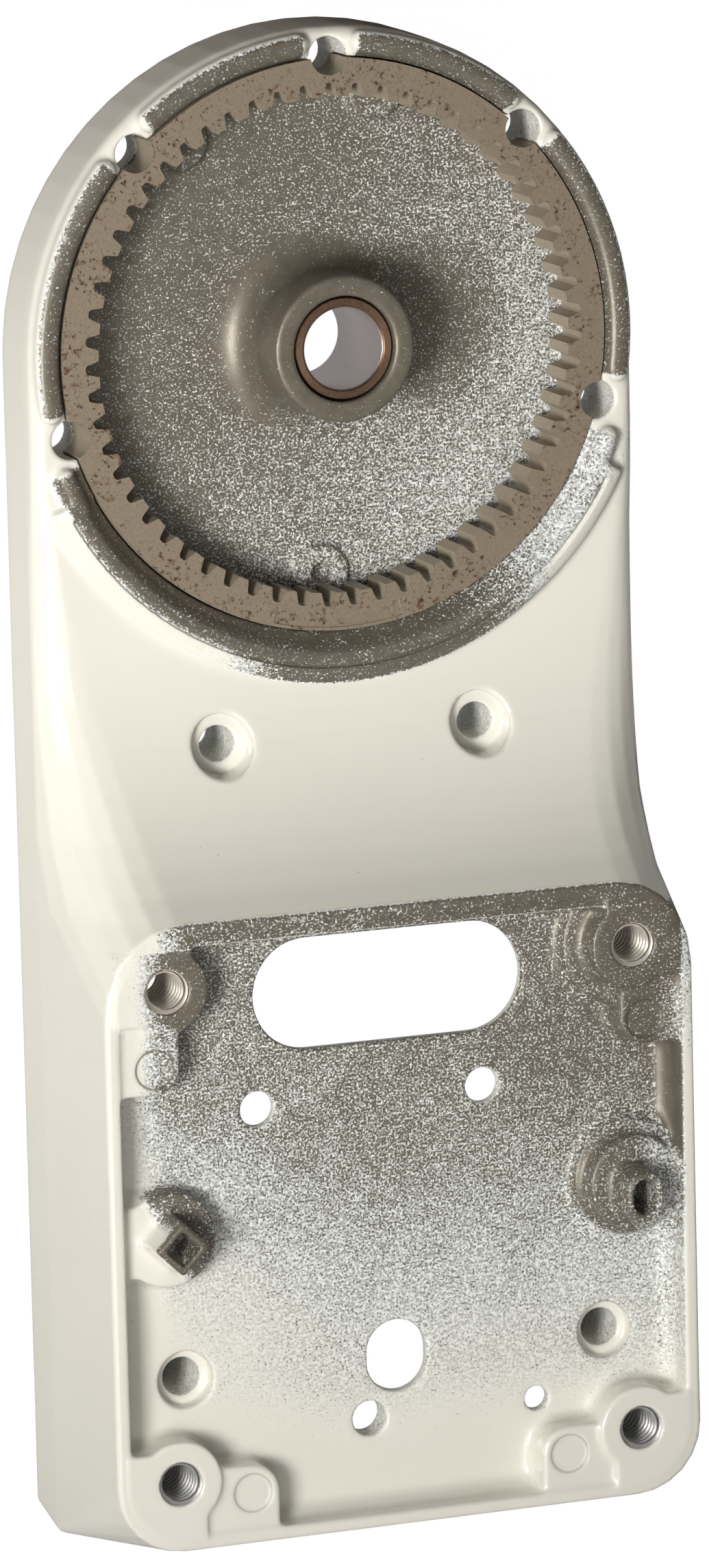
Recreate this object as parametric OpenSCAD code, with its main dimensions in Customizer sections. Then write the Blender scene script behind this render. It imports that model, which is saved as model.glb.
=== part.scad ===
// Lower gearcase of a bowl-lift stand mixer, with the fixed ring gear of its planetary drive and
// the bronze bush of the planetary shaft. It lies on its mating flange, working side up. +Y points
// to the round front of the mixer head, +Z out of the working side. The origin is on the shaft
// axis, halfway along the bush.

/* [Body] */
// Half of the body's width at the shaft axis, which is also the radius of the round front
front_r = 58.5; // [58.3:0.1:59]
// Distance from the shaft axis back to the rear end, at the crease line
rear_y = 218.9; // [218:0.1:220]
// Height of the crease line above the mating flange
crease_h = 11.5; // [11:0.1:12]
// Height of the deck around the ring gear
deck_h = 16; // [15.8:0.1:16.2]
// Height of the rim of the column seat
rim_h = 43.5; // [43:0.1:44]
// Wall thickness of the casting
wall_t = 3.4; // [3.2:0.1:3.6]

/* [Shaft hub and bush] */
// Height of the hub's face above the mating flange
hub_h = 21.5; // [21:0.1:22]
// Radius of the hub
hub_r = 13.5; // [13:0.1:14]
// How far the hub stands out below the mating flange
hub_drop = 3.8; // [3:0.1:4]
// Outer radius of the bush
bush_r = 9.6; // [9.4:0.1:9.8]
// Radius of the shaft bore in the bush
bore_r = 7.5; // [7.2:0.1:7.7]
// How far the bush sits below the hub's face
bush_sink = 0.9; // [0.5:0.1:1.2]

/* [Ring gear] */
// Number of teeth
teeth = 59; // [59]
// Radius at the tooth tips
tip_r = 45.6; // [45.4:0.1:45.8]
// Radius at the tooth roots
root_r = 48.1; // [47.9:0.1:48.3]
// Outer radius of the gear
gear_r = 52.6; // [52.4:0.1:52.7]
// Face width of the gear
gear_w = 9.5; // [9.3:0.1:9.7]
// Width of a tooth's tip
tip_w = 1.95; // [1.8:0.05:2.1]
// Width of the space between two roots
gap_w = 1.25; // [1.1:0.05:1.4]

/* [Screw holes] */
// Radius of the circle of screw holes through the gear's rim
ring_hole_pitch_r = 52.9; // [52.8:0.1:53]
// Radius of those holes
ring_hole_r = 3.45; // [3.3:0.05:3.55]
// Radius of the four tapped holes for the column screws
tapped_r = 3.9; // [3.8:0.05:4]
// Half spacing of the tapped holes across the body
tapped_x = 45.2; // [45:0.1:45.4]
// Distance of the front pair of tapped holes behind the shaft axis
tapped_front_y = 110.9; // [110.7:0.1:111.1]
// Distance of the rear pair of tapped holes behind the shaft axis
tapped_rear_y = 202.8; // [202.6:0.1:203]

/* [Column seat] */
// Height of the seat's floor above the mating flange
floor_h = 36.1; // [35.8:0.1:36.4]
// Thickness of the seat's floor
floor_t = 2.8; // [2.6:0.1:3]
// Half width inside the rim
seat_x = 54.4; // [54.2:0.1:54.6]
// Inside edge of the rim nearest the shaft
seat_front_y = 103.3; // [103.2:0.1:103.5]
// Inside edge of the rim farthest from the shaft
seat_rear_y = 213.2; // [213:0.1:213.3]
// Distance from the shaft axis to the front edge of the rim, where the ramp ends
ramp_end_y = 99.2; // [99:0.1:99.4]
// Distance from the shaft axis to the start of the ramp
ramp_start_y = 50; // [49.5:0.1:50.5]

/* [Hidden] */
$fn = 96;
gap = 0.01;
over = 1;

// Heights are above the mating flange until placed() moves the origin to the middle of the bush
bush_top = hub_h - bush_sink;
bush_len = bush_top + hub_drop;
bush_mid = bush_top - bush_len / 2;
gear_top = deck_h + 0.5;
gear_seat = gear_top - gear_w;
pan_h = gear_seat - 2;
bore_in_case_r = gear_r + 0.2;
low_draft = 1.5;
side_draft = 3.2;
widening = 0.0023;
rear_lean_low = 0.252;
rear_lean_high = 0.103;
crease_corner_r = 1.5;
rim_corner_r = 13;
edge_front_r = 2.2;
edge_rim_r = 14;
edge_grow_y = [15, 99];
ramp_run = ramp_end_y - ramp_start_y;
ramp_rise = rim_h - deck_h;
ramp_r = (ramp_run * ramp_run + ramp_rise * ramp_rise) / (2 * ramp_rise);
ramp_top_angle = asin(ramp_run / ramp_r);
corner_start_y = ramp_end_y + 18;
edge_steps = 5;
ring_hole_angles = [90, 45, -15, 195, 135];
lug_half_angle = 5.4;

// Places, as [x, distance behind the shaft axis]
neck_holes = [25.2, 71.6];
floor_holes = [41.2, 185.4];
neck_sink_h = 17.2;
floor_sink_h = floor_h - 2.5;
stiff_boss = [-5.6, 196.9];
stiff_boss_r = 6;
stiff_boss_t = 6;
post_x = 45;
post_y = 157.6;
post_h = 48.5;
tapped_boss_r = 8;
tapped_boss_h = rim_h + 0.2;
tapped_boss_base = 28.2;
mark_boss_h = rim_h - 0.7;
mark_r = 3.6;
mark_depth = 0.25;
front_mark = [47.6, 125.2];
rear_mark = [31.1, 206.3];

// Plain holes through the seat's floor, as [x, distance behind the shaft axis, radius]
plain_holes = [[-25.9, 136.2, 3.2], [18, 136.2, 3.2], [27.4, 196.9, 2.2]];
slot_y = 115.5;
slot_half = [10.3, 26];
cable_hole_y = 185.5;
cable_hole_half = [5.75, 6.65];

// Flat pan inside the ring gear, and the hub's foot
web_r = 46;
hub_fillet = 6;
ledge_r = 49.2;
locating_r = 1.9;
locating_boss = [43.6, 269.5];
pan_bosses = [[46.9, 74.5], [45.7, 123.8], locating_boss];
pan_boss_r = 5.4;
pan_boss_t = 1.5;
min_edge = 0.8;

// Blank marking panel on the gear's rim: start and width in degrees, inner radius, width, depth
panel = [255, 28, 48.9, 3.1, 0.3];

module placed() {
    translate([0, 0, -bush_mid]) children();
}

// --- outer and inner skin of the casting -------------------------------------------------------

function smooth(t) = let (c = max(0, min(1, t))) c * c * (3 - 2 * c);

// Slope and height of the ramp that climbs from the deck to the rim, d mm behind its start
function ramp_slope(d) = asin(max(0, min(d, ramp_run)) / ramp_r);
function ramp_height(d) = d <= ramp_run
    ? deck_h + ramp_r * (1 - cos(ramp_slope(d)))
    : rim_h + (d - ramp_run) * tan(ramp_top_angle);

// Radius that rounds the upper long edge, growing from the front to the rim's corner
function edge_r(y) =
    edge_front_r + (edge_rim_r - edge_front_r)
    * smooth((-y - edge_grow_y[0]) / (edge_grow_y[1] - edge_grow_y[0]));

// Half width of the body at y and height z, before its upper edge is rounded
function half_w(y, z) =
    front_r + widening * max(0, -y)
    - (z < crease_h ? z - crease_h : 0) * tan(low_draft)
    - (z > crease_h ? z - crease_h : 0) * tan(side_draft);

// Distance from the shaft axis back to the rear face at height z
function rear_dist(z) =
    z < crease_h
        ? rear_y - (crease_h - z) * rear_lean_low
        : rear_y - (z - crease_h) * rear_lean_high;

// Radius of the rear upright corners at height z
function rear_corner_r(z, wall) =
    max(1, crease_corner_r - wall
        + (rim_corner_r - crease_corner_r) * max(0, z - crease_h) / (rim_h - crease_h));

// One upright section of the skin at y, as a list of [inset from the side, height]
function section(y, wall) =
    let (
        in_frame = -y > corner_start_y,
        slope = ramp_slope(-y - ramp_start_y),
        ceiling = wall > 0 ? floor_h - floor_t : rim_h + 30,
        top = in_frame
            ? min(ceiling, rim_h + over)
            : min(ceiling, ramp_height(-y - ramp_start_y) - wall / cos(slope)),
        edge = in_frame ? min_edge : max(edge_r(y) - wall, min_edge),
        low = max(crease_h + 0.4, top - edge / cos(in_frame ? 0 : slope))
    )
    concat(
        [[0, wall > 0 ? -over : 0], [0, crease_h]],
        [for (k = [0:edge_steps])
            let (a = 90 * k / edge_steps)
            [edge * (1 - cos(a)), low + (top - low) * sin(a)]]
    );

function side_column(y, wall) =
    [for (p = section(y, wall)) [-(half_w(y, p[1]) - wall - p[0]), y, p[1]]];

function front_column(angle) =
    [for (p = section(0, 0))
        let (r = half_w(0, p[1]) - p[0])
        [r * cos(angle), r * sin(angle), p[1]]];

function corner_column(angle, wall) =
    [for (p = section(-rear_y, wall))
        let (r = rear_corner_r(p[1], wall))
        [
            -(half_w(-rear_y, p[1]) - wall - p[0] - r) - r * cos(angle),
            -(rear_dist(p[1]) - wall - p[0] - r) - r * sin(angle),
            p[1]
        ]];

// Closed skin through the left-hand columns and their mirror images
module skin(left) {
    n = len(left);
    levels = len(left[0]);
    right = [for (i = [n - 1:-1:0]) [for (p = left[i]) [-p[0], p[1], p[2]]]];
    ring = concat(left, right);
    points = [for (column = ring) for (p = column) p];
    walls = [for (i = [0:2 * n - 1]) for (j = [0:levels - 2])
        let (
            a = i * levels + j,
            b = ((i + 1) % (2 * n)) * levels + j
        )
        each [[a, b, b + 1], [a, b + 1, a + 1]]];
    ends = [for (i = [0:n - 2]) for (level = [0, levels - 1])
        let (
            a = i * levels + level,
            b = a + levels,
            c = (2 * n - 2 - i) * levels + level,
            d = c + levels
        )
        level == 0 ? [a, d, c, b] : [a, b, c, d]];
    polyhedron(points, concat(walls, ends), convexity = 8);
}

module outer_skin() {
    corner = [for (a = [90:-15:0]) corner_column(a, 0)];
    frame_side = [for (y = [190, 118, 116.8, 113, 109, 105, 102]) side_column(-y, 0)];
    ramp_side = [for (y = [ramp_end_y:-4.1:ramp_start_y]) side_column(-y, 0)];
    neck_side = [for (y = [45:-9:0]) side_column(-y, 0)];
    front = [for (a = [177:-6:93]) front_column(a)];
    intersection() {
        skin(concat(corner, frame_side, ramp_side, neck_side, front));
        translate([-100, -300, 0]) cube([200, 400, rim_h]);
    }
}

module inner_skin() {
    corner = [for (a = [90:-30:0]) corner_column(a, wall_t)];
    frame_side = [for (y = [190, 118, 116.8, 108]) side_column(-y, wall_t)];
    ramp_side = [for (y = [ramp_end_y:-8.2:ramp_start_y]) side_column(-y, wall_t)];
    skin(concat(corner, frame_side, ramp_side, [side_column(-40, wall_t)]));
}

// --- plan shapes ------------------------------------------------------------------------------

module rounded_rect(x0, x1, y0, y1, r) {
    translate([x0 + r, y0]) square([x1 - x0 - 2 * r, y1 - y0]);
    translate([x0, y0 + r]) square([x1 - x0, y1 - y0 - 2 * r]);
    for (x = [x0 + r, x1 - r], y = [y0 + r, y1 - r]) translate([x, y]) circle(r);
}

module seat_plan(inset) {
    rounded_rect(-seat_x + inset, seat_x - inset, -seat_rear_y + inset, -seat_front_y - inset,
        10.5 - inset);
}

module column(x, dist, r, z0, z1) {
    translate([x, -dist, z0]) cylinder(r = r, h = z1 - z0);
}

module both_sides() {
    children();
    mirror([1, 0, 0]) children();
}

// --- hidden side ------------------------------------------------------------------------------

// Screw columns and bosses that stay solid inside the hollow underside
module inside_bosses() {
    both_sides() {
        column(neck_holes[0], neck_holes[1], 8, -over, rim_h);
        column(floor_holes[0], floor_holes[1], 8, -over, rim_h);
        column(tapped_x, tapped_front_y, tapped_boss_r, tapped_boss_base, rim_h);
        column(tapped_x, tapped_rear_y, tapped_boss_r, tapped_boss_base, rim_h);
    }
    column(stiff_boss[0], stiff_boss[1], stiff_boss_r, floor_h - stiff_boss_t, rim_h);
}

module underside() {
    difference() {
        inner_skin();
        translate([0, 0, -2 * over]) cylinder(r = front_r - 0.5, h = rim_h);
        inside_bosses();
    }
}

// --- working side: ring gear pan, lip and hub -------------------------------------------------

// Space for the ring gear and, below it, the pan
module pan() {
    difference() {
        rotate_extrude() polygon([
            [0, pan_h],
            [ledge_r, pan_h],
            [ledge_r, gear_seat],
            [bore_in_case_r, gear_seat],
            [bore_in_case_r, hub_h + 10],
            [0, hub_h + 10]
        ]);
        for (p = pan_bosses)
            rotate(p[1]) translate([p[0], 0, 0]) cylinder(r = pan_boss_r, h = pan_h + pan_boss_t);
    }
    rotate(locating_boss[1]) translate([locating_boss[0], 0, pan_h - 2])
        cylinder(r = locating_r, h = 5);
}

// Hub with its filleted foot, standing in the pan and through the flange
module hub() {
    foot = [for (t = [90:-7.5:0])
        [hub_r + hub_fillet * (1 - cos(t)), pan_h + hub_fillet * (1 - sin(t))]];
    rotate_extrude() polygon(concat(
        [[0, -hub_drop], [hub_r, -hub_drop], [hub_r, over + 1.5], [foot[0][0], over + 1.5]],
        foot,
        [[hub_r, hub_h], [0, hub_h]]
    ));
}

// A lip segment between two screw lugs, with round ends. Its profile has its crown at mid_r
module lip(profile, mid_r, a0, a1) {
    rotate(a0) rotate_extrude(angle = a1 - a0) polygon(profile);
    half = [for (p = profile) if (p[0] > mid_r) [p[0] - mid_r - gap, p[1]]];
    crown = [for (p = profile) if (p[0] == mid_r) [0, p[1] - gap]];
    for (a = [a0, a1])
        rotate(a) translate([mid_r, 0, 0])
            rotate_extrude() polygon(concat([[0, half[0][1]]], half, crown));
}

module lips() {
    top = deck_h + 2.2;
    base = crease_h + 1;
    bead = [[53.4, base], [57.7, base], [57.7, top - 1.1], [56.9, top - 0.2], [55.55, top],
        [54.2, top - 0.2], [53.4, top - 0.9]];
    low_bead = [[54.6, base], [58.4, base], [58.4, top - 0.6], [57.7, top + 0.2],
        [56.5, top + 0.4], [55.3, top], [54.6, top - 0.8]];
    shoulder = [[57.5, base], [61.9, base], [61.9, top - 1.3], [61.3, top - 0.5],
        [59, top + 0.5], [57.5, top + 0.5]];
    for (pair = [[195, 135], [135, 90], [90, 45], [45, -15]])
        lip(bead, 55.55, pair[1] + lug_half_angle + 1, pair[0] - lug_half_angle - 1);
    lip(low_bead, 56.5, 195 + lug_half_angle + 1, 345 - lug_half_angle - 1);
    rotate(206) rotate_extrude(angle = 128) polygon(shoulder);
}

// Small mould notches across the outer edge of the lip
module lip_notches() {
    for (p = [[111.5, 57.2], [156.5, 57.2], [268.9, 61]])
        rotate(p[0]) translate([p[1] - 0.8, -0.6, deck_h + 1.4]) cube([2.4, 1.2, 2]);
}

// --- working side: column seat ----------------------------------------------------------------

module seat_pocket() {
    bevel = 2;
    translate([0, 0, floor_h + bevel]) linear_extrude(20) seat_plan(0);
    hull() {
        translate([0, 0, floor_h]) linear_extrude(gap) seat_plan(bevel, $fn = 32);
        translate([0, 0, floor_h + bevel]) linear_extrude(gap) seat_plan(0, $fn = 32);
    }
    // register step along the rim's front wall
    translate([-40, -seat_front_y - 1, rim_h - 0.5]) cube([80, 3, 2]);
}

// Bosses that rise from the seat's floor and run into its walls
module seat_bosses() {
    low = floor_h - 1;
    both_sides() {
        for (y = [tapped_front_y, tapped_rear_y]) {
            toward = y == tapped_front_y ? 1 : -1;
            column(tapped_x, y, tapped_boss_r, low, tapped_boss_h);
            translate([tapped_x, -y - (toward > 0 ? 6 : 16), low])
                cube([16, 22, tapped_boss_h - low]);
            translate([tapped_x - 5, -y - (toward > 0 ? 0 : 14), low])
                cube([12, 14, tapped_boss_h - low]);
        }
        // pad boss behind the front tapped hole, run into the side wall
        column(front_mark[0], front_mark[1], 4.8, low, mark_boss_h);
        translate([47.6, -130, low]) cube([12, 16, mark_boss_h - low]);
        translate([42.8, -125.2, low]) cube([10, 12, mark_boss_h - low]);
        // pad boss beside the rear tapped hole, run into the rear wall
        column(rear_mark[0], rear_mark[1], 5.2, low, mark_boss_h);
        translate([25.9, -220, low]) cube([20, 13.7, mark_boss_h - low]);
        translate([31.1, -212, low]) cube([12, 10.9, mark_boss_h - low]);
    }
    // lower step round the right front boss
    column(tapped_x, tapped_front_y, 12, low, floor_h + 3);
}

module pad_marks() {
    both_sides() for (p = [front_mark, rear_mark])
        column(p[0], p[1], mark_r, mark_boss_h - mark_depth, rim_h + over);
}

// Left post: a drafted square post on a round boss
module square_post() {
    boss_r = 9;
    boss_h = floor_h + 4.6;
    foot = 8.6;
    top = 7.2;
    translate([-post_x, -post_y, 0]) {
        translate([0, 0, floor_h - 1]) cylinder(r = boss_r, h = boss_h - floor_h + 1);
        translate([-12, -6.8, floor_h - 1]) cube([12, 13.6, boss_h - floor_h + 1]);
        rotate(45) hull() {
            translate([-foot / 2, -foot / 2, floor_h]) cube([foot, foot, gap]);
            translate([-top / 2, -top / 2, post_h - gap]) cube([top, top, gap]);
        }
    }
}

module square_post_hole() {
    hole = 4.5;
    depth = 9;
    translate([-post_x, -post_y, post_h - depth]) rotate(45)
        translate([-hole / 2, -hole / 2, 0]) cube([hole, hole, 20]);
}

module oval(rx, ry) {
    square([2 * rx, 2 * (ry - rx)], center = true);
    for (s = [-1, 1]) translate([0, s * (ry - rx)]) circle(rx);
}

// Right post: a drafted oval post on two stepped discs
module round_post() {
    disc_r = [11, 8.9];
    disc_h = [floor_h + 2, floor_h + 5.4];
    disc_shift = [[0.9, 1.7], [0.8, 1.2]];
    foot = [4.1, 6];
    top = [3.5, 4.75];
    translate([post_x, -post_y, 0]) {
        for (i = [0, 1])
            translate([disc_shift[i][0], disc_shift[i][1], floor_h - 1])
                cylinder(r = disc_r[i], h = disc_h[i] - floor_h + 1);
        translate([0, -5, floor_h - 1]) cube([12, 12, disc_h[1] - floor_h + 1]);
        hull() {
            translate([0, 0, floor_h]) linear_extrude(gap) oval(foot[0], foot[1], $fn = 32);
            translate([0, 0, post_h - gap]) linear_extrude(gap) oval(top[0], top[1], $fn = 32);
        }
    }
}

module round_post_hole() {
    hole = [2.15, 3.2];
    depth = 10;
    translate([post_x, -post_y, post_h - depth]) linear_extrude(20) oval(hole[0], hole[1]);
}

// --- holes ------------------------------------------------------------------------------------

module stepped_hole(x, dist, r, sink_r, sink_h) {
    column(x, dist, r, -over, rim_h);
    column(x, dist, sink_r, sink_h, rim_h + over);
}

module ring_screw_holes() {
    for (a = ring_hole_angles)
        rotate(a) translate([ring_hole_pitch_r, 0, -over]) cylinder(r = ring_hole_r, h = 30);
}

module case_holes() {
    ring_screw_holes();
    translate([0, 0, -hub_drop - over]) cylinder(r = bush_r, h = 40);
    both_sides() {
        stepped_hole(neck_holes[0], neck_holes[1], 3.3, 5.6, neck_sink_h);
        stepped_hole(floor_holes[0], floor_holes[1], 3.5, 5.1, floor_sink_h);
        column(tapped_x, tapped_front_y, tapped_r, tapped_boss_base - over, rim_h + over);
        column(tapped_x, tapped_rear_y, tapped_r, tapped_boss_base - over, rim_h + over);
    }
    column(stiff_boss[0], stiff_boss[1], 3.2, 25, rim_h);
    for (p = plain_holes)
        column(p[0], p[1], p[2], 25, rim_h);
    // wiring slot and cable hole
    translate([0, -slot_y, 25]) linear_extrude(20) rotate(90) oval(slot_half[0], slot_half[1]);
    translate([0, -cable_hole_y, 25]) linear_extrude(20)
        oval(cable_hole_half[0], cable_hole_half[1]);
}

// --- sub-parts --------------------------------------------------------------------------------

module lower_gearcase() {
    color([0.87, 0.86, 0.82]) placed() difference() {
        union() {
            difference() {
                union() {
                    outer_skin();
                    lips();
                }
                underside();
                pan();
                lip_notches();
                translate([0, 0, -over]) cylinder(r = web_r, h = over + 1.5);
                seat_pocket();
            }
            hub();
            intersection() {
                seat_bosses();
                linear_extrude(rim_h + 5) seat_plan(-0.8);
            }
            square_post();
            round_post();
        }
        case_holes();
        pad_marks();
        square_post_hole();
        round_post_hole();
    }
}

function on_circle(r, a) = [r * cos(a), r * sin(a)];

module tooth_spaces() {
    pitch = 360 / teeth;
    tip_half = asin(tip_w / 2 / tip_r);
    gap_half = asin(gap_w / 2 / root_r);
    bottom = 0.35;
    polygon([for (k = [0:teeth - 1])
        let (a = 1.31 + k * pitch)
        each [
            on_circle(tip_r, a - tip_half),
            on_circle(tip_r, a + tip_half),
            on_circle(root_r - bottom, a + pitch / 2 - gap_half * 1.35),
            on_circle(root_r, a + pitch / 2 - gap_half * 0.7),
            on_circle(root_r, a + pitch / 2 + gap_half * 0.7),
            on_circle(root_r - bottom, a + pitch / 2 + gap_half * 1.35)
        ]]);
}

module ring_gear() {
    color([0.65, 0.59, 0.53]) placed() difference() {
        translate([0, 0, gear_seat]) linear_extrude(gear_w) difference() {
            circle(gear_r);
            tooth_spaces();
        }
        ring_screw_holes();
        translate([0, 0, gear_top - panel[4]]) rotate(panel[0]) rotate_extrude(angle = panel[1])
            translate([panel[2], 0]) square([panel[3], 2]);
    }
}

module shaft_bush() {
    chamfer = 0.45;
    color([0.62, 0.43, 0.3]) placed() translate([0, 0, -hub_drop]) rotate_extrude() polygon([
        [bore_r + chamfer, 0],
        [bush_r - chamfer, 0],
        [bush_r, chamfer],
        [bush_r, bush_len - chamfer],
        [bush_r - chamfer, bush_len],
        [bore_r + chamfer, bush_len],
        [bore_r, bush_len - chamfer],
        [bore_r, chamfer]
    ]);
}

lower_gearcase();
ring_gear();
shaft_bush();
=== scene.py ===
import math

import bpy
import numpy as np
import openvdb
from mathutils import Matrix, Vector


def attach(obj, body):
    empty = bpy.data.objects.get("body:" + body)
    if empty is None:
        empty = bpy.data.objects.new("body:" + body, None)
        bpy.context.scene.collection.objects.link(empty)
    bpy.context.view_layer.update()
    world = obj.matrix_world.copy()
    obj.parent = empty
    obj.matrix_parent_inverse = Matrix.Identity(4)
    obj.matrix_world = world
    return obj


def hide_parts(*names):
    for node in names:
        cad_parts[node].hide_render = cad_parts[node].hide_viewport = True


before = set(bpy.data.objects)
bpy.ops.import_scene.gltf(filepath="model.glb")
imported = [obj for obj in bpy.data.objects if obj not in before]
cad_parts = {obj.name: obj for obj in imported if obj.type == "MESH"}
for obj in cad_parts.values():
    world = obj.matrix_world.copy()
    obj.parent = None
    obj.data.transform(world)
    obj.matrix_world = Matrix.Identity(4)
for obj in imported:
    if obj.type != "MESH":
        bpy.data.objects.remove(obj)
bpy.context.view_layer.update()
MM = 0.001
VOXEL = 0.4

# ---------------------------------------------------------------- places on the part, in mm
GEAR_SEAT = -1.4
RECESS_R = 52.8
RING_HOLE_ANGLES = [90, 45, -15, 195, 135]
RING_PITCH_R = 52.9
RING_HOLE_R = 3.45
TAPPED = [(-45.2, -110.9), (45.2, -110.9), (-45.2, -202.8), (45.2, -202.8)]
POSTS = [(-45, -157.6), (45, -157.6)]
MARK_R = 3.6
MARKS = [(-47.6, -125.2), (47.6, -125.2), (-31.1, -206.3), (31.1, -206.3)]
NECK_HOLES = [(-25.2, -71.6), (25.2, -71.6)]
FLOOR_HOLES = [(-41.2, -185.4), (41.2, -185.4)]
PAN_BOSSES = [(12.5, 45.2), (-25.4, 38.0), (-0.4, -43.6)]
PLAIN_HOLES = [(-25.9, -136.2, 3.2), (18, -136.2, 3.2), (-5.6, -196.9, 3.2), (27.4, -196.9, 2.2)]
RING_HOLES = [(RING_PITCH_R * math.cos(math.radians(a)), RING_PITCH_R * math.sin(math.radians(a)))
              for a in RING_HOLE_ANGLES]


def step(x, a, b):
    """0 below a, 1 above b, smooth between; b may be less than a."""
    t = np.clip((x - a) / (b - a), 0, 1)
    return t * t * (3 - 2 * t)


# ---------------------------------------------------------------- the casting's mesh
def level_set(name, band):
    """Signed distance to a CAD node on a grid, in mm, with the grid's lowest index and its coordinates."""
    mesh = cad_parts[name].data
    mesh.calc_loop_triangles()
    points = np.empty(len(mesh.vertices) * 3, dtype=np.float32)
    mesh.vertices.foreach_get("co", points)
    points = points.reshape(-1, 3) * 1000
    tris = np.empty(len(mesh.loop_triangles) * 3, dtype=np.int32)
    mesh.loop_triangles.foreach_get("vertices", tris)
    grid = openvdb.FloatGrid.createLevelSetFromPolygons(
        points.astype(np.float64), triangles=tris.reshape(-1, 3).astype(np.uint32),
        transform=openvdb.createLinearTransform(voxelSize=VOXEL), halfWidth=band / VOXEL)
    low = np.floor(points.min(0) / VOXEL).astype(int) - 6
    high = np.ceil(points.max(0) / VOXEL).astype(int) + 6
    field = np.empty(high - low + 1, dtype=np.float32)
    grid.copyToArray(field, ijk=tuple(int(v) for v in low))
    axes = [np.arange(low[k], high[k] + 1, dtype=np.float32) * VOXEL for k in range(3)]
    return field, low, axes


def blur(field, sigma):
    """Gaussian blur, sigma in mm."""
    s = sigma / VOXEL
    reach = max(1, int(math.ceil(2.6 * s)))
    taps = np.exp(-0.5 * (np.arange(-reach, reach + 1) / s) ** 2)
    taps /= taps.sum()
    for axis in range(3):
        n = field.shape[axis]
        pad = [(0, 0)] * 3
        pad[axis] = (reach, reach)
        wide = np.pad(field, pad, mode="edge")
        out = np.zeros_like(field)
        for k, w in enumerate(taps):
            cut = [slice(None)] * 3
            cut[axis] = slice(k, k + n)
            out += np.float32(w) * wide[tuple(cut)]
        field = out
    return field


def smooth_max(a, b, k):
    h = np.clip(0.5 + 0.5 * (a - b) / k, 0, 1)
    return b + (a - b) * h + k * h * (1 - h)


def drill(field, axes, x, y, r, z0, z1, edge=0.3, stretch=(0, 0)):
    """Cuts an upright hole, or with stretch a slot that much longer each way along x and y."""
    xs, ys, zs = axes
    reach = r + 4
    i = slice(*np.searchsorted(xs, [x - reach - stretch[0], x + reach + stretch[0]]))
    j = slice(*np.searchsorted(ys, [y - reach - stretch[1], y + reach + stretch[1]]))
    k = slice(*np.searchsorted(zs, [z0 - 3, z1 + 3]))
    dx = np.maximum(np.abs(xs[i] - x) - stretch[0], 0)[:, None, None]
    dy = np.maximum(np.abs(ys[j] - y) - stretch[1], 0)[None, :, None]
    z = zs[k][None, None, :]
    hole = np.maximum(np.hypot(dx, dy) - r, np.maximum(z0 - z, z - z1))
    field[i, j, k] = smooth_max(field[i, j, k], -hole, edge)


def near(axes, places, full, none):
    """1 within full mm of any place, 0 beyond none mm, as a flat map over x and y."""
    xs, ys, _ = axes
    out = np.zeros((len(xs), len(ys), 1), dtype=np.float32)
    for p in places:
        d = np.hypot(xs[:, None, None] - p[0], ys[None, :, None] - p[1])
        out = np.maximum(out, step(d, none, full))
    return out


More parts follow.
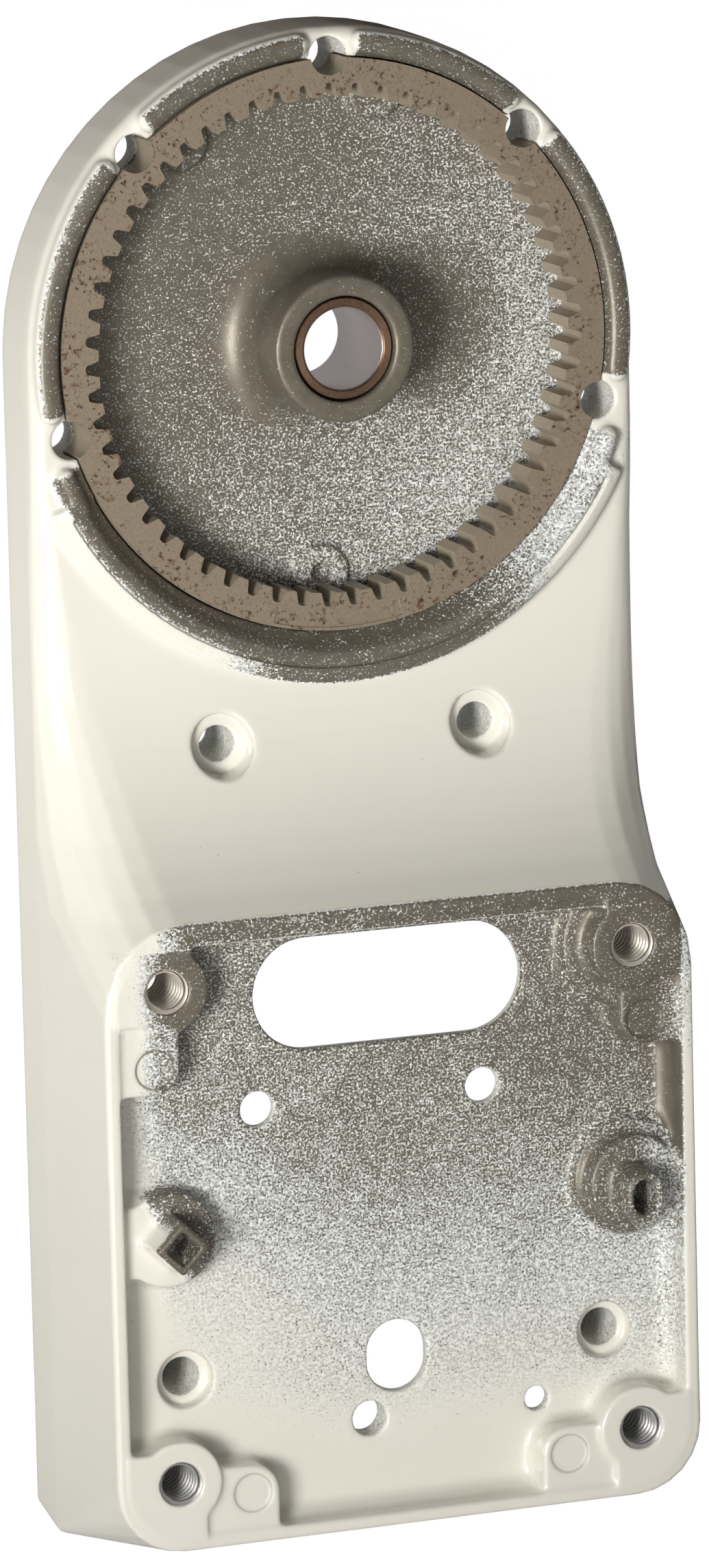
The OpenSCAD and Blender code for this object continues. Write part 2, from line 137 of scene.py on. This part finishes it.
def build_casting():
    field, low, axes = level_set("lower_gearcase", 6.5)
    xs, ys, zs = axes
    z = zs[None, None, :]
    rho = np.hypot(xs[:, None, None], ys[None, :, None])
    # Cast fillets: a blur that may only add material, wide round the bosses and the hub
    fine = blur(field, 0.55)
    wide = blur(field, 1.0)
    broad = blur(wide, 1.8)
    tops = step(z, 33.0, 34.2)
    lips = step(rho, 50.5, 52) * step(rho, 66, 63) * step(z, 5, 6.5)
    crisp = np.maximum(tops, lips)
    crisp = np.maximum(crisp, near(axes, PAN_BOSSES, 6.5, 8) * step(z, 4, 2))
    bosses = near(axes, POSTS, 17, 26) * step(z, 32.5, 31)
    filled = np.minimum(field, fine)
    filled = np.minimum(filled, wide + 4 * crisp)
    filled = np.minimum(filled, broad + 4 * (1 - bosses))
    field = blur(filled, 0.4) * (1 - crisp) + blur(filled, 0.28) * crisp
    del fine, wide, broad, filled
    # The lower lip slopes down to the gear, and a step parts it from its outer shoulder
    angle = np.degrees(np.arctan2(ys[None, :, None], xs[:, None, None])) % 360
    low_lip = step(angle, 204, 209) * step(angle, 336, 331)
    slope = (z - 6.2 - (rho - RECESS_R) * 1.15) * 0.66
    slope = np.where((rho > 51) & (rho < 56.4), slope, -1.0)
    field = smooth_max(field, slope - 3 * (1 - low_lip), 0.4)
    groove = np.maximum(np.abs(rho - 58.9) - 0.3, 9.3 - z)
    field = smooth_max(field, -groove - 3 * (1 - low_lip), 0.3)
    # Machined features, cut again with a crisp edge
    ring = np.maximum(np.maximum(rho - RECESS_R, 49.2 - rho), GEAR_SEAT - z)
    field = smooth_max(field, -ring, 0.3)
    for x, y in RING_HOLES:
        drill(field, axes, x, y, RING_HOLE_R, -20, 30, 0.5)
    for x, y in TAPPED:
        drill(field, axes, x, y, 4.1, 18, 45, 0.15)
    for x, y in NECK_HOLES:
        drill(field, axes, x, y, 3.3, -20, 30)
        drill(field, axes, x, y, 5.6, 8.8, 30, 0.9)
    for x, y in FLOOR_HOLES:
        drill(field, axes, x, y, 3.5, -20, 40)
        drill(field, axes, x, y, 5.1, 25.2, 45, 0.8)
    drill(field, axes, PAN_BOSSES[2][0], PAN_BOSSES[2][1], 1.9, -5.4, 5, 0.2)
    for x, y, r in PLAIN_HOLES:
        drill(field, axes, x, y, r, 15, 45)
    for x, y in MARKS:
        drill(field, axes, x, y, MARK_R, 34.05, 45, 0.1)
    drill(field, axes, 0, -115.5, 10.3, 15, 45, 0.4, (15.7, 0))
    drill(field, axes, 0, -185.5, 5.75, 15, 45, 0.4, (0, 0.9))
    drill(field, axes, 0, 0, 9.65, -20, 30, 0.2)
    drill(field, axes, POSTS[1][0], POSTS[1][1], 2.15, 30.1, 45, 0.3, (0, 1.05))
    # The left post's square hole stands on a corner
    x, y = xs[:, None, None] - POSTS[0][0], ys[None, :, None] - POSTS[0][1]
    square = np.maximum((np.abs(x) + np.abs(y)) * 0.7071 - 2.25, 31.1 - z)
    field = smooth_max(field, -square, 0.3)
    return mesh_of(field, low, "casting")


def mesh_of(field, low, name):
    """The zero surface of a grid as a Blender object, and its points in mm."""
    grid = openvdb.FloatGrid(9.0)
    grid.copyFromArray(field, ijk=tuple(int(v) for v in low))
    grid.transform = openvdb.createLinearTransform(voxelSize=VOXEL)
    points, quads = grid.convertToQuads(0.0)
    mesh = bpy.data.meshes.new(name)
    mesh.vertices.add(len(points))
    mesh.vertices.foreach_set("co", (points * MM).astype(np.float32).ravel())
    quads = quads.astype(np.int32)
    mesh.loops.add(len(quads) * 4)
    mesh.loops.foreach_set("vertex_index", quads.ravel())
    mesh.polygons.add(len(quads))
    mesh.polygons.foreach_set("loop_start", np.arange(0, len(quads) * 4, 4, dtype=np.int32))
    mesh.update(calc_edges=True)
    mesh.shade_smooth()
    obj = bpy.data.objects.new(name, mesh)
    bpy.context.scene.collection.objects.link(obj)
    return obj, points


def paint_cover(points, normals):
    """How much paint lies on each point of the casting, from 0, bare, to 1, a closed coat."""
    x, y, z = points.T
    nx, ny, nz = normals.T
    rho = np.hypot(x, y)
    cover = np.ones(len(x), dtype=np.float32)

    # Pan inside the ring gear, dusted with overspray, most towards the lower right, least beside the hub; a
    # patch right of the hub is painted shadow
    toward = (x * 0.72 - y * 0.5) / 46
    pan = 0.405 + 0.15 * toward - 0.22 * step(rho, 21, 16) * step(toward, 0.15, -0.1)
    # painted shadow: less cover in a patch to the right of the hub darkens the pan where the hub's shadow
    # falls
    pan = pan - 0.12 * step(np.hypot(x - 24, (y - 1) * 0.8), 17, 6)
    in_pan = step(rho, 52.9, 52.4) * step(z, -9, -8)
    cover = cover + (pan - cover) * in_pan
    hub = in_pan * step(rho, 14.6, 13.9) * step(z, 9, 11)
    cover = cover + (0.12 - cover) * hub

    # Lips round the gear: bare on top, painted down their outer flank
    angle = np.degrees(np.arctan2(y, x)) % 360
    low_lip = step(angle, 197, 201) * step(angle, 343, 339)
    middle = step(angle, 238, 264) * step(angle, 325, 290)
    edge = 57.1 + low_lip * 1.6
    lug = np.min([np.abs((angle - a + 180) % 360 - 180) for a in RING_HOLE_ANGLES], axis=0)
    bare = step(rho, edge + 0.9, edge - 0.6) * step(rho, 52.3, 52.8) * step(z, 3, 4.5) * step(lug, 4.6, 6.2)
    right = low_lip * step(angle, 285, 320)
    cover = cover + (0.26 + 0.34 * right - cover) * bare
    shoulder = low_lip * step(rho, edge - 0.2, edge + 0.4) * step(rho, 62.6, 61.8) * step(z, 3, 4.5)
    cover = cover - (0.04 + 0.68 * middle + 0.2 * step(angle, 315, 335)) * shoulder

    # Column seat: bare at the front, more and more overspray towards the rear and the left wall
    inside = step(np.abs(x), 55.6, 54.2) * step(y, -103.2, -104.0) * step(y, -214.0, -213.0) * step(z, 26, 27)
    down = step(y, -150, -205)
    seat = 0.45 + 0.22 * step(y, -135, -192) + 0.34 * step(y, -184, -215)
    seat = seat - 0.1 * step(x, 10, 45) * step(y, -150, -120)
    seat = seat + 0.28 * step(x, -42, -53) + 0.2 * down * step(-x, 34, 50)
    seat = seat + 0.1 * step(x, -8, -36) * step(y, -122, -150)
    wall = step(nz, 0.55, 0.2) * step(y, -120, -150)
    seat = seat + 0.25 * wall * step(nx, -0.1, 0.5)
    seat = seat - 0.4 * step(nx, -0.3, -0.7) * step(x, 49, 51) * step(y, -170, -150)
    cover = cover + (np.clip(seat, 0, 1) - cover) * inside

    # Rim of the seat, bare along its front
    rim = step(z, 33.9, 34.4) * step(nz, 0.5, 0.8) * step(y, -97, -99)
    front = step(y, -108, -102)
    rim_cover = 1 - 0.64 * front * step(x, -52, -40) - 0.12 * front * step(x, -10, 35)
    rim_cover = rim_cover - 0.4 * step(x, 49, 53) * step(y, -150, -112)
    cover = cover + (rim_cover - cover) * rim * (1 - inside)

    # Bosses in the seat
    def boss(px, py, r, value, above=29.0):
        nonlocal cover
        m = step(np.hypot(x - px, y - py), r + 2.5, r) * step(z, above - 1, above + 1) * inside
        cover = cover + (value - cover) * m

    boss(-45.2, -110.9, 9, 0.25 + 0.65 * step(x, -43, -54))
    boss(-47.6, -125.2, 7, 0.5 + 0.45 * step(x, -46, -53))
    boss(45.2, -110.9, 9, 0.29)
    boss(47.6, -125.2, 7, 0.3 + 0.2 * step(x, 49, 54))
    for px, py in TAPPED[2:] + MARKS[2:]:
        boss(px, py, 9, 1.0, 31.0)
    boss(POSTS[0][0], POSTS[0][1], 9, 0.35 + 0.65 * step(x + 0.5 * y, -122, -127))
    boss(POSTS[0][0], POSTS[0][1], 7, 0.2, 39.0)
    boss(POSTS[1][0], POSTS[1][1], 10, 0.33 + 0.2 * step(x, 44, 50))
    # Walls of the holes: drilled metal, dulled, and made a lighter grey as painted light for the light that
    # comes up through the holes from below
    holes = [(hx, hy, 3.3) for hx, hy in NECK_HOLES] + [(hx, hy, 3.5) for hx, hy in FLOOR_HOLES] + PLAIN_HOLES
    holes += [(hx, hy, RING_HOLE_R) for hx, hy in RING_HOLES]
    for px, py, r in holes:
        m = step(np.hypot(x - px, y - py), r + 0.8, r + 0.3) * step(nz, 0.75, 0.4)
        cover = cover + (0.7 - cover) * m
    return np.clip(cover, 0, 1)


# ---------------------------------------------------------------- materials
class Nodes:
    """Short hand for building a material's node tree."""

    def __init__(self, name):
        self.material = bpy.data.materials.new(name)
        self.material.use_nodes = True
        self.tree = self.material.node_tree
        self.shader = self.tree.nodes["Principled BSDF"]

    def add(self, kind, **values):
        node = self.tree.nodes.new(kind)
        for key, value in values.items():
            if hasattr(node, key):
                setattr(node, key, value)
            else:
                self.put(node, key.replace("_", " "), value)
        return node

    def put(self, node, socket, value):
        target = node.inputs[socket]
        if isinstance(value, bpy.types.NodeSocket):
            self.tree.links.new(value, target)
        elif isinstance(value, (tuple, list)) and len(value) == 3 and target.type == "RGBA":
            target.default_value = (*value, 1)
        else:
            target.default_value = value

    def math(self, op, a, b=0.0, clamp=False):
        node = self.tree.nodes.new("ShaderNodeMath")
        node.operation = op
        node.use_clamp = clamp
        self.put(node, 0, a)
        self.put(node, 1, b)
        return node.outputs[0]

    def range(self, value, a, b, lo=0.0, hi=1.0):
        """value taken from a..b to lo..hi, smoothly and clamped."""
        node = self.tree.nodes.new("ShaderNodeMapRange")
        node.interpolation_type = "SMOOTHSTEP"
        for k, v in enumerate((value, a, b, lo, hi)):
            self.put(node, k, v)
        return node.outputs[0]

    def mix(self, factor, a, b):
        node = self.tree.nodes.new("ShaderNodeMix")
        node.data_type = "RGBA"
        self.put(node, 0, factor)
        self.put(node, 6, a)
        self.put(node, 7, b)
        return node.outputs[2]

    def blend(self, factor, a, b):
        """A number between a and b."""
        node = self.tree.nodes.new("ShaderNodeMix")
        self.put(node, 0, factor)
        self.put(node, 2, a)
        self.put(node, 3, b)
        return node.outputs[0]

    def place(self):
        """Position in the part's frame, in mm."""
        coord = self.tree.nodes.new("ShaderNodeTexCoord")
        scale = self.tree.nodes.new("ShaderNodeVectorMath")
        scale.operation = "SCALE"
        self.put(scale, 0, coord.outputs["Object"])
        scale.inputs["Scale"].default_value = 1000
        return scale.outputs[0]

    def offset(self, place, centre):
        node = self.tree.nodes.new("ShaderNodeVectorMath")
        node.operation = "SUBTRACT"
        self.put(node, 0, place)
        node.inputs[1].default_value = (*centre, 0)
        return node.outputs[0]

    def noise(self, place, size, detail=2.0, rough=0.5):
        """Noise with features about size mm across."""
        node = self.tree.nodes.new("ShaderNodeTexNoise")
        self.put(node, "Vector", place)
        self.put(node, "Scale", 1 / size)
        self.put(node, "Detail", detail)
        self.put(node, "Roughness", rough)
        return node.outputs["Fac"]

    def cells(self, place, size):
        node = self.tree.nodes.new("ShaderNodeTexVoronoi")
        self.put(node, "Vector", place)
        self.put(node, "Scale", 1 / size)
        return node.outputs["Distance"]

    def bump(self, height, depth, strength=1.0, under=None):
        node = self.tree.nodes.new("ShaderNodeBump")
        self.put(node, "Height", height)
        self.put(node, "Distance", depth * MM)
        self.put(node, "Strength", strength)
        if under is not None:
            self.put(node, "Normal", under)
        return node.outputs[0]

    def finish(self, **sockets):
        for name, value in sockets.items():
            self.put(self.shader, name.replace("_", " "), value)
        return self.material


def casting_material():
    n = Nodes("casting")
    place = n.place()
    attribute = n.add("ShaderNodeAttribute", attribute_name="cover")
    cover = attribute.outputs["Fac"]
    grain = n.noise(place, 0.42, 3, 0.6)
    clump = n.noise(place, 1.8, 2)
    mottle = n.noise(place, 12, 3)
    level = n.math("ADD", n.math("MULTIPLY", grain, 0.86), n.math("MULTIPLY", clump, 0.14))
    # a speck of paint wherever the noise lies under a threshold that rises with the cover
    limit = n.range(cover, 0.0, 1.0, 0.33, 0.68)
    limit = n.math("ADD", limit, n.math("MULTIPLY", n.math("SUBTRACT", mottle, 0.5), 0.06))
    speck = n.math("MULTIPLY", n.math("SUBTRACT", limit, level), 18.0)
    speck = n.math("ADD", speck, 0.5, clamp=True)
    coat = n.range(cover, 0.74, 0.96)
    speck = n.math("MAXIMUM", speck, coat)
    metal = n.mix(n.noise(place, 2.5, 4), (0.11, 0.096, 0.072), (0.19, 0.17, 0.132))
    dust = n.mix(n.range(n.noise(place, 0.6, 2), 0.35, 0.65), (0.385, 0.395, 0.38), (0.78, 0.805, 0.795))
    paint = n.mix(n.noise(place, 30, 2), (0.7, 0.685, 0.61), (0.74, 0.725, 0.655))
    # fine dark specks in the paint
    dirt = n.range(n.cells(place, 4.5), 0.045, 0.03)
    dirt = n.math("MULTIPLY", dirt, n.range(n.noise(place, 14, 2), 0.52, 0.62))
    paint = n.mix(n.math("MULTIPLY", dirt, 0.55), paint, (0.22, 0.19, 0.15))
    top = n.mix(n.range(cover, 0.55, 0.85), dust, paint)
    metal = n.mix(n.range(cover, 0.45, 0.9), metal, (0.26, 0.265, 0.255))
    colour = n.mix(speck, metal, top)
    # painted shade: a dark line round the edge of the round marks on the pads, for the shade in their fine
    # groove
    for mark in MARKS:
        away = n.add("ShaderNodeVectorMath", operation="MULTIPLY")
        n.put(away, 0, n.offset(place, mark))
        away.inputs[1].default_value = (1, 1, 0)
        ring = n.add("ShaderNodeVectorMath", operation="LENGTH")
        n.put(ring, 0, away.outputs[0])
        line = n.math("ABSOLUTE", n.math("SUBTRACT", ring.outputs["Value"], MARK_R))
        line = n.range(line, 0.3, 0.1)
        groove_shade = n.math("MULTIPLY", line, 0.7 if mark[1] > -150 else 0.3)
        colour = n.mix(groove_shade, colour, (0.1, 0.085, 0.065))
    rough = n.blend(speck, 0.42, n.blend(coat, 0.6, 0.2))
    metallic = n.math("MULTIPLY", n.math("SUBTRACT", 1.0, speck), 0.35)
    peel = n.bump(n.noise(place, 1.6, 1), 0.012)
    relief = n.math("ADD", speck, n.math("MULTIPLY", level, 0.8))
    relief = n.math("MULTIPLY", relief, n.math("SUBTRACT", 1.0, coat))
    normal = n.bump(relief, 0.05, 0.6, peel)
    return n.finish(Base_Color=colour, Roughness=rough, Metallic=metallic, Normal=normal,
                    Coat_Weight=n.math("MULTIPLY", coat, 0.6), Coat_Roughness=0.08)


def gear_material():
    n = Nodes("gear")
    place = n.place()
    facing = n.add("ShaderNodeNewGeometry").outputs["True Normal"]
    up = n.add("ShaderNodeSeparateXYZ", Vector=facing).outputs[2]
    face = n.range(up, 0.4, 0.9)
    fine = n.noise(place, 0.5, 4, 0.65)
    patch = n.noise(place, 7, 3, 0.6)
    tan = n.mix(fine, (0.19, 0.147, 0.103), (0.35, 0.285, 0.215))
    rust = n.math("MULTIPLY", n.range(n.noise(place, 1.6, 4, 0.7), 0.5, 0.66), n.range(patch, 0.42, 0.6))
    tan = n.mix(rust, tan, (0.12, 0.058, 0.032))
    pits = n.math("MULTIPLY", n.range(n.noise(place, 0.8, 3, 0.6), 0.59, 0.66), n.range(patch, 0.35, 0.6))
    flank = n.mix(fine, (0.2, 0.16, 0.11), (0.46, 0.4, 0.31))
    colour = n.mix(face, flank, n.mix(n.math("MULTIPLY", pits, 0.85), tan, (0.035, 0.025, 0.02)))
    normal = n.bump(n.math("SUBTRACT", fine, n.math("MULTIPLY", pits, 1.5)), 0.06, 0.8)
    return n.finish(Base_Color=colour, Metallic=n.blend(face, 0.15, 0.45),
                    Roughness=n.blend(fine, 0.42, 0.62), Normal=normal)


def bush_material():
    n = Nodes("bush")
    place = n.place()
    flat = n.add("ShaderNodeVectorMath", operation="MULTIPLY")
    n.put(flat, 0, place)
    flat.inputs[1].default_value = (1, 1, 0)
    size = n.add("ShaderNodeVectorMath", operation="LENGTH")
    n.put(size, 0, flat.outputs[0])
    rho = size.outputs["Value"]
    fine = n.noise(place, 0.5, 3)
    bronze = n.mix(fine, (0.2, 0.115, 0.07), (0.4, 0.26, 0.18))
    # painted reflection: the bore's pale pinkish grey, over machined bronze, stands in for the bright floor
    # it reflects from below
    bore_and_reflection = n.mix(fine, (0.62, 0.55, 0.54), (0.8, 0.73, 0.72))
    # painted shade: a near-black ring at the bush's outer edge stands in for the shadow in the gap round the
    # bush
    rim = n.range(rho, 9.15, 9.4)
    colour = n.mix(rim, n.mix(n.range(rho, 7.55, 7.7), bore_and_reflection, bronze), (0.05, 0.03, 0.022))
    lathe = n.math("SINE", n.math("MULTIPLY", rho, 40.0))
    normal = n.bump(n.math("ADD", lathe, fine), 0.01, 0.5)
    return n.finish(Base_Color=colour, Metallic=0.95, Roughness=n.blend(fine, 0.22, 0.4), Normal=normal)


def thread_material(name, bright, dull, rough):
    n = Nodes(name)
    place = n.place()
    fine = n.noise(place, 0.4, 3)
    # painted shade: the thread's root is darkened towards near black, for the shade between the crests
    root = n.range(n.add("ShaderNodeAttribute", attribute_name="root").outputs["Fac"], 0.25, 0.85)
    colour = n.mix(root, n.mix(fine, dull, bright), (0.05, 0.043, 0.037))
    return n.finish(Base_Color=colour, Metallic=0.6, Roughness=rough,
                    Normal=n.bump(fine, 0.02, 0.4))


# ---------------------------------------------------------------- threads of the column's screw holes
def thread_sleeve(name, x, y, top, bottom, material):
    """A closed sleeve with a helical thread inside: 18 turns to the inch, 5/16 inch across.

    The attribute root is 0 on the thread's crest and 1 in its root."""
    pitch, minor, major, outer = 25.4 / 18, 3.32, 3.95, 4.3
    around, per_turn = 72, 14
    rows = int((top - bottom) / pitch * per_turn)
    angle = np.arange(around) / around * 2 * np.pi
    zs = np.linspace(top, bottom, rows + 1)
    phase = (zs[:, None] / pitch - angle[None, :] / (2 * np.pi)) % 1
    tooth = np.clip(np.abs(phase - 0.5) * 2.6 - 0.2, 0, 1)
    r = minor + (major - minor) * tooth
    fade = np.clip((top - zs) / 0.7, 0, 1)[:, None]
    r = r * fade + (major + 0.12) * (1 - fade)
    inner = np.stack([x + r * np.cos(angle), y + r * np.sin(angle), np.repeat(zs[:, None], around, 1)], -1)
    ring = np.stack([x + outer * np.cos(angle), y + outer * np.sin(angle), 0 * angle], -1)
    points = np.concatenate([inner.reshape(-1, 3), ring + [0, 0, bottom], ring + [0, 0, top]])
    loops = rows + 3
    faces = []
    for a in range(loops):
        b = (a + 1) % loops
        for k in range(around):
            m = (k + 1) % around
            faces.append((a * around + k, a * around + m, b * around + m, b * around + k))
    mesh = bpy.data.meshes.new(name)
    mesh.from_pydata((points * MM).tolist(), [], faces)
    mesh.shade_smooth()
    mesh.set_sharp_from_angle(angle=math.radians(50))
    root = mesh.attributes.new("root", "FLOAT", "POINT")
    depth = np.concatenate([(tooth * fade).ravel(), np.zeros(2 * around)])
    root.data.foreach_set("value", depth.astype(np.float32))
    obj = bpy.data.objects.new(name, mesh)
    bpy.context.scene.collection.objects.link(obj)
    mesh.materials.append(material)
    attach(obj, "root")


# ---------------------------------------------------------------- put the object together
casting, points = build_casting()
normals = np.empty(len(points) * 3, dtype=np.float32)
casting.data.vertex_normals.foreach_get("vector", normals)
cover = casting.data.attributes.new("cover", "FLOAT", "POINT")
cover.data.foreach_set("value", paint_cover(points, normals.reshape(-1, 3)))
casting.data.materials.append(casting_material())
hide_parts("lower_gearcase")
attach(casting, "root")

for name, material, width in (("ring_gear", gear_material(), 0.12), ("shaft_bush", bush_material(), 0.15)):
    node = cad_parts[name]
    for s in node.material_slots:
        s.material = material
    bevel = node.modifiers.new("edges", "BEVEL")
    bevel.width = width * MM
    bevel.segments = 2
    bevel.limit_method = "ANGLE"
    bevel.angle_limit = math.radians(35)
    bevel.harden_normals = True

bright = thread_material("thread_bright", (0.95, 0.9, 0.8), (0.6, 0.55, 0.47), 0.3)
grey = thread_material("thread_grey", (0.66, 0.66, 0.65), (0.4, 0.4, 0.39), 0.4)
for k, (x, y) in enumerate(TAPPED):
    thread_sleeve(f"thread_{k + 1}", x, y, 34.7, 18.9, bright if k < 2 else grey)

# ---------------------------------------------------------------- camera, floor and light
cam_data = bpy.data.cameras.new("camera")
cam_data.lens = 186.2
cam_data.sensor_width = 36
cam_data.clip_end = 10
cam = bpy.data.objects.new("camera", cam_data)
cam.location = (-0.4953, 0.20509, 1.38916)
cam.rotation_euler = [math.radians(a) for a in (-10.5415, -20.0508, -1.4982)]
bpy.context.scene.collection.objects.link(cam)
bpy.context.scene.camera = cam

bpy.ops.mesh.primitive_plane_add(size=6, location=(0, 0, -0.0125))
floor = bpy.context.object
floor.name = "floor"
n = Nodes("floor")
flat = n.add("ShaderNodeSeparateXYZ", Vector=n.place())
shade = n.mix(n.range(flat.outputs[1], -60, 90), (0.42, 0.42, 0.41), (0.1, 0.085, 0.075))
n.finish(Base_Color=shade, Roughness=0.9)
glow = n.add("ShaderNodeEmission", Color=(1, 1, 1))
# white to the camera, and under the part white to every ray, so that light comes up through the holes
below = n.math("MULTIPLY", flat.outputs[1], flat.outputs[1])
below = n.math("MULTIPLY", below, n.math("GREATER_THAN", flat.outputs[1], 0.0))
below = n.math("ADD", n.math("MULTIPLY", flat.outputs[0], flat.outputs[0]), below)
before_rear = n.math("GREATER_THAN", flat.outputs[1], -212.0)
below = n.math("MULTIPLY", n.math("LESS_THAN", below, 54.0 ** 2), before_rear)
seen = n.add("ShaderNodeLightPath").outputs["Is Camera Ray"]
pick = n.add("ShaderNodeMixShader")
n.put(pick, 0, n.math("MULTIPLY", n.math("MAXIMUM", seen, below), 0.95))
n.put(glow, "Strength", n.blend(seen, 0.33, 1.05))
n.put(pick, 1, n.shader.outputs[0])
n.put(pick, 2, glow.outputs[0])
n.put(n.tree.nodes["Material Output"], "Surface", pick.outputs[0])
floor.data.materials.append(n.material)

bpy.context.scene.view_settings.view_transform = "Standard"
world = bpy.data.worlds.new("world")
bpy.context.scene.world = world
world.use_nodes = True
tree = world.node_tree
direction = tree.nodes.new("ShaderNodeSeparateXYZ")
tree.links.new(tree.nodes.new("ShaderNodeTexCoord").outputs["Generated"], direction.inputs[0])


def world_math(op, a, b, clamp=False):
    node = tree.nodes.new("ShaderNodeMath")
    node.operation = op
    node.use_clamp = clamp
    for k, v in enumerate((a, b)):
        if isinstance(v, float):
            node.inputs[k].default_value = v
        else:
            tree.links.new(v, node.inputs[k])
    return node.outputs[0]


sky = world_math("ADD", world_math("MULTIPLY", direction.outputs[2], 0.45), 0.75)
sky = world_math("SUBTRACT", sky, world_math("MULTIPLY", direction.outputs[1], 0.75), True)
sky = world_math("MAXIMUM", sky, 0.04)
tree.links.new(world_math("MULTIPLY", sky, 0.22), tree.nodes["Background"].inputs[1])
tree.nodes["Background"].inputs[0].default_value = (1, 0.97, 0.925, 1)


def lamp(name, loc, target, size, power, spread, colour):
    d = bpy.data.lights.new(name, "AREA")
    d.shape = "RECTANGLE"
    d.size, d.size_y = size
    d.energy = power
    d.spread = math.radians(spread)
    d.color = colour
    o = bpy.data.objects.new(name, d)
    o.location = loc
    o.rotation_euler = (Vector(target) - Vector(loc)).to_track_quat("-Z", "Y").to_euler()
    bpy.context.scene.collection.objects.link(o)
    return o


lamp("key", (-0.67, -0.08, 0.77), (-0.01, 0.01, 0), (0.28, 0.28), 1.4, 60, (1, 0.985, 0.955))
lamp("overhead", (-0.3, -0.3, 1.1), (0, -0.05, 0), (0.6, 0.6), 2.3, 180, (1, 0.985, 0.96))
lamp("strip", (-0.86, -0.32, 0.95), (0, -0.08, 0), (0.03, 0.6), 0.4, 180, (1, 1, 1))
